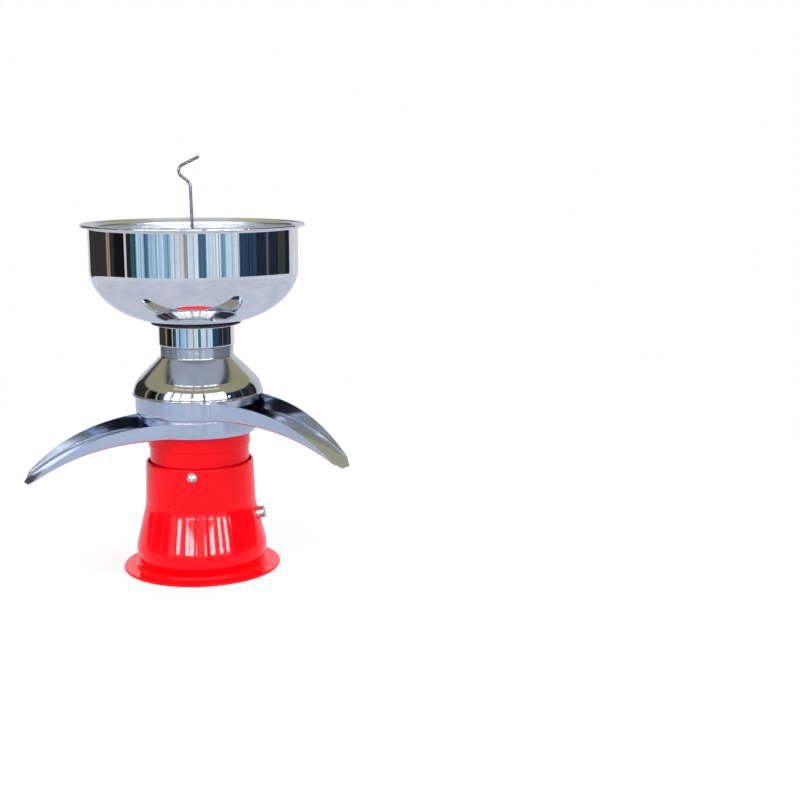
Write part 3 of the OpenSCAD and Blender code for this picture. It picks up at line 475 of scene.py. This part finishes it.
def make_bell(materials):
    steps = 120
    top = BELL_RIM_Z - 0.9
    rise = [BELL_FOOT_Z + (top - BELL_FOOT_Z) * i / steps for i in range(steps + 1)]
    outer = [(bell_r(z), z) for z in rise]
    inner = beside(outer, BELL_WALL)
    lip = arc(BELL_RIM_R - 0.9, top, 0.9, 15, 90, 5) + arc(BELL_RIM_R - BELL_WALL + 0.9, top,
                                                         0.9, 90, 165, 5)
    loops = [outer + lip + inner[::-1]]
    screw_angle, screw_z, screw_r = 261, 143, 3.2
    switch_angle, switch_z, switch_r, switch_lead = -12, 76, 8.2, 17
    gland_angle, gland_z, gland_r = 90, 30, 6.1
    pinhole_angle, pinhole_z, pinhole_r = 235.5, 102.5, 1.2
    tilt = bell_tilt(switch_z)
    switch_start_z = switch_z - switch_lead * math.tan(math.radians(tilt))
    holes = [(*outward(screw_angle + 120 * i, 60, screw_z, 30), screw_r * MM) for i in range(3)]
    holes.append((*outward(switch_angle, 70, switch_start_z, 40, tilt), switch_r * MM))
    holes.append((*outward(gland_angle, 70, gland_z, 40), gland_r * MM))
    holes.append((*outward(pinhole_angle, 60, pinhole_z, 30), pinhole_r * MM))
    mesh = drilled(turned_mesh("bell_housing_body", loops), loops, holes)
    return link("bell_housing_body", mesh, "stand", materials["red_paint"], "red_paint",
                "bell_housing")


def make_bowl(materials):
    foot_z, curve_h, slope_h, wall_r, flat_r, sheet = 347.6, 72.9, 22.5, 141.6, 59.0, 1.2
    rim_r, bead_r, rim_arc_r = 151.58, 2.4, 4.5
    bead = (rim_r - bead_r, 482.0 - bead_r)
    line = [(10.0, foot_z - 4), (44.0, foot_z - 1.5), (49.0, foot_z)]
    steps = 90
    for i in range(steps + 1):
        u = math.sin(math.pi / 2 * i / steps)
        z = foot_z + slope_h * u + (curve_h - slope_h) * (1 - math.sqrt(max(0, 1 - u ** 2.6)))
        line.append((flat_r + (wall_r - flat_r) * u, z))
    line += arc(wall_r + rim_arc_r, bead[1] - 5.1, rim_arc_r, 180, 100, 16) + [bead]
    body = beaded(line, beside(line, sheet), bead, bead_r)
    skirt = [(50.2, 337.6), (50.2, 348.0), (49.0, 348.0), (49.0, 337.6)]
    mesh = turned_mesh("milk_bowl_body", [body, skirt])
    bowl = link("milk_bowl_body", mesh, "bowl", materials["polished_steel"], "polished_steel",
                "milk_bowl")
    mesh.materials.append(materials["inner_steel"])
    for face in mesh.polygons:
        inward = face.normal.x * face.center.x + face.normal.y * face.center.y < 0
        face.material_index = int(inward or face.normal.z > 0.5)
    return bowl


def make_cover(materials):
    cover_r, edge_z, knuckle_r, sheet, collar_r = 89.0, 247.6, 34.0, 1.2, 50.0
    bead_r = 1.7
    foot = (cover_r - knuckle_r, edge_z)
    cone_top = (collar_r + 2, foot[1] + knuckle_r * math.sqrt(2) + foot[0] - collar_r - 2)
    line = arc(*foot, knuckle_r, 0, 45, 40) + [cone_top]
    line += [(collar_r + 0.6, cone_top[1] + 1.0), (collar_r, cone_top[1] + 2.2)]
    line += [(collar_r, 314.6)]
    inner = beside(line, sheet)
    outside = (line + [(collar_r - 0.3, 315.0)])[::-1]
    inside = [*inner[:-1], (collar_r - sheet, 315.0)][::-1]
    body = beaded(outside, inside, (cover_r - 0.4, edge_z + bead_r), bead_r)
    skirt = ring_loop(84.94, 83.74, edge_z - 10, edge_z + 0.8)
    mesh = turned_mesh("receiver_cover_body", [body, skirt])
    return link("receiver_cover_body", mesh, "cover", materials["cover_steel"],
                "polished_steel", "receiver_cover")


def make_float_chamber(materials):
    low_r, foot_z, high_r, top_z, sheet = 48.74, 289.0, 51.7, 345.0, 1.2
    line = [(3.6, foot_z + 0.6), (8.0, foot_z)] + arc(low_r - 4, foot_z + 4, 4, -90, 0, 10)
    line += [(low_r, 315.0)] + arc(high_r - 1.6, 317.2, 1.6, -90, 0, 8)
    line += [(high_r, top_z - 2.4)] + arc(high_r + 1.0, top_z - 2.4, 1.0, 180, 90, 6)
    line += [(56.6, top_z - 1.4), (57.0, top_z - 0.9), (56.8, top_z)]
    upper = beside(line[:-4], sheet)
    upper[-1] = (high_r + 0.4, top_z)
    nozzle = [(4.6, 238.0), (4.6, foot_z + 0.8), (3.4, foot_z + 0.8), (3.4, 238.0)]
    mesh = turned_mesh("float_chamber_body", [line + upper[::-1], nozzle])
    return link("float_chamber_body", mesh, "float_chamber", materials["polished_steel"],
                "polished_steel", "float_chamber")


def make_flange(materials):
    base_r, base_t, step_r, step_in, round_r = 109.6, 3.5, 91.5, 73.0, 1.2
    line = [(0.0, 0.0)] + arc(base_r - round_r, round_r, round_r, -90, 0, 6)
    line += arc(base_r - round_r, base_t - round_r, round_r, 0, 90, 6)
    line += [(step_r + 2.2, base_t)] + arc(step_r + 2.2, base_t + 2.2, 2.2, 270, 180, 8)
    line += arc(step_r - 1.0, BELL_FOOT_Z - 1.0, 1.0, 0, 90, 6)
    line += [(step_in, BELL_FOOT_Z), (step_in, base_t), (0.0, base_t)]
    up = Vector((0, 0, 1))
    holes = []
    for i in range(10):
        start, _ = outward(36 * i, 46, -2, 1)
        holes.append((start, up * 9 * MM, 6 * MM))
    for i in range(4):
        start, _ = outward(45 + 90 * i, 79.5, -2, 1)
        holes.append((start, up * 14 * MM, 2.1 * MM))
        holes.append((start, up * 5.1 * MM, 4.1 * MM))
    mesh = drilled(turned_mesh("base_flange_body", [line]), [line], holes)
    return link("base_flange_body", mesh, "stand", materials["red_paint"], "red_paint",
                "base_flange")


# ------------------------------------------------------------------ receivers

SHEET, WALL_END, TONGUE_L, TONGUE_W = 1.2, 236.0, 10.0, 20.0
ROOT_W, MOUTH_W = 100.0, 38.0
FLOOR_BEND, WALL_BEND = 2.5, 3.35


def droop(start, fall, power):
    """How far an edge that leaves the level at start has fallen at the distance s."""
    return lambda s: fall * (max(0.0, s - start) / (WALL_END - start)) ** power


def receiver_outline(r):
    """Plan of a receiver: (x, y, share of the wall that stands there), from the mouth's right
    round to its left and across the tongue. A fillet joins each spout wall to the round one."""
    half, root, fillet = MOUTH_W / 2, ROOT_W / 2, 26.0
    root_x = math.sqrt(r * r - root * root)
    way = Vector((WALL_END - root_x, half - root)).normalized()
    out = Vector((-way.y, way.x))
    past = out.dot(Vector((root_x, root)))
    centre = out * (past + fillet) + way * math.sqrt((r + fillet) ** 2 - (past + fillet) ** 2)
    joint = centre - out * fillet
    turn = math.atan2(centre.y, centre.x)
    first = math.atan2(-out.y, -out.x)
    last = turn - math.pi
    straight, bend_steps, round_steps = 60, 16, 150
    side = [(WALL_END + (joint.x - WALL_END) * i / straight,
             half + (joint.y - half) * i / straight, 1) for i in range(straight)]
    for i in range(bend_steps):
        a = first + (last - first) * i / bend_steps
        side.append((centre.x + fillet * math.cos(a), centre.y + fillet * math.sin(a), 1))
    points = [(x, -y, w) for x, y, w in side]
    for i in range(round_steps + 1):
        a = -turn - (2 * math.pi - 2 * turn) * i / round_steps
        points.append((r * math.cos(a), r * math.sin(a), 1))
    points += side[::-1]
    lip = [(WALL_END + (TONGUE_L - 1.5) * i / 8, half + (TONGUE_W / 2 - half) * i / 8, 1 - i / 8)
           for i in range(1, 9)]
    tip = [(WALL_END + TONGUE_L, (TONGUE_W / 2 - 1.5) * (1 - i / 6), 0) for i in range(13)]
    return points + lip + tip + [(x, -y, w) for x, y, w in lip[::-1]]


def receiver_row(x, y, nx, ny, walled, top, z0, floor_drop, hole_r, collar_h, t):
    """Section of a receiver from its wall's top edge at (x, y) in to the collar, on the
    face that lies t inside the outer one."""
    fillet, lip = 4.6, 3.0
    foot = z0 - floor_drop(x)
    tall = max(0.0, top - foot) * walled
    bend = min(fillet, tall * 0.8)
    tight = max(bend - t, 0.0)
    start = min(bend, t)
    row = [(x + nx * start, y + ny * start, foot + max(bend + (tall - bend) * (1 - k / 6), t))
           for k in range(6)]
    for k in range(9):
        a = math.pi / 2 * k / 8
        inset = bend - tight * math.cos(a)
        px, py = x + nx * inset, y + ny * inset
        row.append((px, py, z0 - floor_drop(px) + max(bend - tight * math.sin(a), t)))
    turn = math.atan2(py, px)
    hx, hy = (hole_r + lip) * math.cos(turn), (hole_r + lip) * math.sin(turn)
    for k in range(1, 37):
        qx, qy = px + (hx - px) * k / 36, py + (hy - py) * k / 36
        row.append((qx, qy, z0 - floor_drop(qx) + t))
    for k in range(1, 7):
        a = math.pi / 2 * k / 6
        r = hole_r + lip - (lip - t) * math.sin(a)
        row.append((r * math.cos(turn), r * math.sin(turn), z0 + lip - (lip - t) * math.cos(a)))
    return row + [((hole_r + t) * math.cos(turn), (hole_r + t) * math.sin(turn), z0 + collar_h)]


def make_receiver(name, body, material, angle, r, z0, h, floor, wall_fall, hole_r, collar_h,
                  rings):
    floor_drop, wall_drop = droop(*floor, FLOOR_BEND), droop(0.0, wall_fall, WALL_BEND)
    outline = receiver_outline(r)
    count = len(outline)
    bm = bmesh.new()
    rounds = []
    for i, (x, y, walled) in enumerate(outline):
        x0, y0, _ = outline[i - 1]
        x1, y1, _ = outline[(i + 1) % count]
        size = math.hypot(x1 - x0, y1 - y0)
        nx, ny = (y1 - y0) / size, -(x1 - x0) / size
        top = z0 + h - wall_drop(x)
        faces = [receiver_row(x, y, nx, ny, walled, top, z0, floor_drop, hole_r, collar_h, t)
                 for t in (0.0, SHEET)]
        rounds.append([bm.verts.new(Vector(p) * MM) for p in faces[0] + faces[1][::-1]])
    for i in range(count):
        a, b = rounds[i], rounds[(i + 1) % count]
        for k in range(len(a)):
            n = (k + 1) % len(a)
            bm.faces.new((a[k], a[n], b[n], b[k]))
    bmesh.ops.remove_doubles(bm, verts=bm.verts, dist=1e-6)
    bmesh.ops.dissolve_degenerate(bm, edges=bm.edges, dist=1e-6)
    bm.from_mesh(turned_mesh("rings", rings))
    bmesh.ops.recalc_face_normals(bm, faces=bm.faces)
    bmesh.ops.rotate(bm, verts=bm.verts, cent=(0, 0, 0),
                     matrix=Matrix.Rotation(math.radians(angle), 3, "Z"))
    mesh = bpy.data.meshes.new(name)
    bm.to_mesh(mesh)
    bm.free()
    mesh.shade_smooth()
    mesh.set_sharp_from_angle(angle=math.radians(34))
    return link(name, mesh, body, material, "satin_steel", body)


def ring_loop(r_out, r_in, z0, z1):
    return [(r_in, z0), (r_out, z0), (r_out, z1), (r_in, z1)]


def make_receivers(materials):
    steel = materials["satin_steel"]
    make_receiver("skim_receiver_body", "skim_receiver", steel, 203, 79.5, 194.7, 23.6,
                  (72.0, 39.6), 57.9, 24.0, 12, [ring_loop(67.94, 66.74, 189.7, 195.0)])
    make_receiver("cream_receiver_body", "cream_receiver", steel, -40, 86.2, 221.3, 25.9,
                  (60.0, 44.5), 67.7, 20.5, 9,
                  [ring_loop(79.3, 77.04, 218.6, 221.5), ring_loop(78.24, 77.04, 210.6, 219.0)])


# ------------------------------------------------------------------ studio

# The room that the metal mirrors, as vertical bands: the direction in degrees at which each
# band begins, 0 towards the camera's side and growing to the right, and its colour
ROOM_BANDS = [
    (-180, (0.93, 0.94, 1.0)), (-156, (0.05, 0.045, 0.04)), (-109, (0.42, 0.36, 0.27)),
    (-103, (0.05, 0.04, 0.04)), (-97, (0.01, 0.01, 0.012)), (-80.5, (0.8, 0.8, 0.82)),
    (-78, (0.03, 0.02, 0.03)), (-72, (0.04, 0.13, 0.14)), (-66, (0.50, 0.78, 1.0)),
    (-55, (0.08, 0.16, 0.30)), (-51, (0.42, 0.66, 0.88)), (-40, (0.58, 0.82, 1.0)),
    (-33, (0.32, 0.56, 0.78)), (-26, (0.66, 0.86, 1.0)), (-18.7, (0.86, 0.90, 0.94)),
    (-12, (0.38, 0.42, 0.46)), (-8, (0.80, 0.95, 1.05)), (4, (0.08, 0.20, 0.30)),
    (12, (0.70, 0.92, 1.05)), (20, (0.90, 1.0, 1.08)), (28, (0.22, 0.48, 0.70)),
    (33, (0.68, 0.90, 1.05)), (45, (0.92, 0.98, 1.05)), (48, (0.03, 0.07, 0.14)),
    (70, (0.02, 0.03, 0.055)), (84, (0.12, 0.13, 0.16)), (88, (0.02, 0.03, 0.055)),
    (104, (0.06, 0.06, 0.05)), (118, (0.015, 0.02, 0.035)), (127, (0.88, 0.89, 0.98)),
]


# The room's windows, and the bright strips of sky in them, as spans of the same direction
WINDOWS = [(-63, -51), (-47, -35), (-32, -15), (-9.5, 8), (12, 27), (29, 35), (36.5, 51)]
SKY_STRIPS = [(-48, -41), (-32, -24), (-23, -16), (-11.5, -10), (3, 6), (14, 22), (30, 36),
              (43, 49), (55, 57)]


# Elevations in degrees where the room's zones change over: from the table's far edge to the
# walls, from the walls to the ceiling's beams, and from those to its middle
TABLE_EDGE, WALL_TOP, BEAMS_TOP = (-9.4, -9.0), (23.0, 27.0), (60.0, 66.0)
# The lower and upper edge of each row of windows and of the strips of sky
LOW_PANES = ((-1.0, 0.0), (34.0, 34.6))
HIGH_PANES = ((49.0, 49.6), (54.0, 54.6))
SKY = ((8.0, 8.6), (10.75, 11.25))
SKY_LEAN, HIGH_PANE_SHARE, SKY_STRENGTH = -0.008, 0.4, 42.0


def mask_stops(spans):
    """Stops of a constant ramp over -180 to 180 degrees, white inside the spans."""
    stops = [(0.0, (0.0, 0.0, 0.0))]
    for start, end in spans:
        stops += [((start + 180) / 360, (1.0, 1.0, 1.0)), ((end + 180) / 360, (0.0, 0.0, 0.0))]
    return stops


def row_mask(g, low_measure, high_measure, edges):
    """White between a lower and an upper edge, each a pair of elevations."""
    lower, upper = edges
    return g.math("MULTIPLY", g.ranged(low_measure, *lower),
                  g.ranged(high_measure, *upper, 1.0, 0.0))


def make_world():
    """White to the camera and to soft light, a room with windows to anything glossy."""
    world = bpy.data.worlds.new("studio_room")
    world.use_nodes = True
    bpy.context.scene.world = world
    g = Graph(world.node_tree)
    way = g.add("TexCoord").outputs["Generated"]
    xyz = g.add("SeparateXYZ", {0: way}).outputs
    azimuth = g.math("MULTIPLY", g.math("ARCTAN2", xyz[0], g.math("MULTIPLY", xyz[1], -1.0)),
                     180 / math.pi)
    rise = g.math("MULTIPLY", g.math("ARCSINE", xyz[2]), 180 / math.pi)
    band = g.ramp(g.ranged(azimuth, -180.0, 180.0),
                  [((a + 180) / 360, c) for a, c in ROOM_BANDS], "CONSTANT")
    streak = g.add("TexNoise", {"W": g.math("MULTIPLY", azimuth, 0.55), "Scale": 1.0,
                                "Detail": 4.0}, noise_dimensions="1D").outputs[0]
    wall = g.mix(g.ranged(streak, 0.12, 0.6), (0.0, 0.0, 0.0), band)
    # windows: two rows, and bright strips of sky low down in them
    panes = g.ramp(g.ranged(azimuth, -180.0, 180.0), mask_stops(WINDOWS), "CONSTANT")
    slits = g.ramp(g.ranged(azimuth, -180.0, 180.0), mask_stops(SKY_STRIPS), "CONSTANT")
    low_row = row_mask(g, rise, rise, LOW_PANES)
    faint_row = g.math("MULTIPLY", row_mask(g, rise, rise, HIGH_PANES), HIGH_PANE_SHARE)
    window = g.math("MULTIPLY", panes, g.math("MAXIMUM", low_row, faint_row))
    leaning = g.math("ADD", rise, g.math("MULTIPLY", azimuth, SKY_LEAN))
    sky_row = row_mask(g, rise, leaning, SKY)
    sky = g.math("MULTIPLY", slits, sky_row)
    ceiling = g.mix(g.ranged(rise, *BEAMS_TOP), (0.42, 0.40, 0.25), (0.50, 0.50, 0.56))
    room = g.mix(g.ranged(rise, *WALL_TOP), wall, ceiling)
    room = g.mix(g.ranged(rise, *TABLE_EDGE, 1.0, 0.0), room, (0.62, 0.66, 0.75))
    room = g.mix(window, room, (1.9, 2.0, 2.15))
    shine = g.add("Background", {"Color": g.mix(sky, room, (0.92, 0.95, 1.0)),
                                 "Strength": g.ranged(sky, 0.0, 1.0, 1.0, SKY_STRENGTH)}).outputs[0]
    soft = g.add("Background", {"Color": (1.0, 0.99, 0.98, 1.0), "Strength": 0.85}).outputs[0]
    seen = g.add("Background", {"Color": (1.0, 1.0, 1.0, 1.0), "Strength": 1.0}).outputs[0]
    path = g.add("LightPath").outputs
    lighting = g.add("MixShader", {0: path["Is Glossy Ray"], 1: soft, 2: shine}).outputs[0]
    final = g.add("MixShader", {0: path["Is Camera Ray"], 1: lighting, 2: seen}).outputs[0]
    g.add("OutputWorld", {"Surface": final})


def make_floor():
    """A pale round table top, lit to white, which the metal sees as a pale blue-grey."""
    bm = bmesh.new()
    bmesh.ops.create_circle(bm, cap_ends=True, segments=128, radius=1.35)
    mesh = bpy.data.meshes.new("floor")
    bm.to_mesh(mesh)
    bm.free()
    floor = bpy.data.objects.new("floor", mesh)
    bpy.context.scene.collection.objects.link(floor)
    material, g = new_material("pale_table")
    mesh.materials.append(material)
    place = g.place()
    veins = g.ranged(g.noise(place, 3.0, 5.0, 0.6), 0.35, 0.65)
    pale = g.mix(veins, (0.80, 0.79, 0.78), (0.86, 0.855, 0.85))
    lit = g.add("BsdfDiffuse", {"Color": pale}).outputs[0]
    mirrored = g.add("Emission", {"Color": g.mix(veins, (0.50, 0.55, 0.66), (0.60, 0.65, 0.75)),
                                  "Strength": 1.0}).outputs[0]
    white = g.add("Emission", {"Color": (1.0, 1.0, 1.0, 1.0), "Strength": 1.0}).outputs[0]
    pale_lit = g.add("MixShader", {0: 0.7, 1: lit, 2: white}).outputs[0]
    path = g.add("LightPath").outputs
    direct = g.add("MixShader", {0: path["Is Camera Ray"], 1: lit, 2: pale_lit}).outputs[0]
    both = g.add("MixShader", {0: path["Is Glossy Ray"], 1: direct, 2: mirrored}).outputs[0]
    g.add("OutputMaterial", {"Surface": both})


def add_light(name, place, size, power):
    data = bpy.data.lights.new(name, "AREA")
    data.shape, data.size, data.energy = "DISK", size, power
    light = bpy.data.objects.new(name, data)
    bpy.context.scene.collection.objects.link(light)
    light.location = place
    aim = Vector((0, 0, 0.2)) - Vector(place)
    light.rotation_euler = aim.to_track_quat("-Z", "Y").to_euler()
    light.visible_glossy = False
    light.visible_camera = False


def make_camera():
    data = bpy.data.cameras.new("camera")
    data.lens, data.sensor_width = 59.8, 36.0
    camera = bpy.data.objects.new("camera", data)
    bpy.context.scene.collection.objects.link(camera)
    camera.location = (0.0, -1.844, 0.573)
    camera.rotation_euler = (math.radians(90 - 10.46), 0.0, math.radians(-8.77))
    bpy.context.scene.camera = camera


def make_studio():
    make_camera()
    make_world()
    make_floor()
    add_light("key", (-0.9, -1.3, 1.9), 1.2, 26)
    add_light("fill", (1.3, -0.6, 1.6), 1.2, 14)
    add_light("back", (0.2, 1.4, 1.8), 1.4, 16)
    bpy.context.scene.view_settings.view_transform = "Standard"


# ------------------------------------------------------------------ the scene

def dress_nodes(materials):
    """Every CAD node takes the material of its slot in the record."""
    for part in frame["record"]["subparts"]:
        kind = "wire_steel" if part["node"] == "tap_rod" else part["material_slot"]
        for slot in frame["nodes"][part["node"]].material_slots:
            slot.link = "OBJECT"
            slot.material = materials[kind]


def main():
    make_studio()
    materials = make_materials()
    dress_nodes(materials)
    make_bell(materials)
    make_flange(materials)
    make_bowl(materials)
    make_cover(materials)
    make_float_chamber(materials)
    make_receivers(materials)


main()
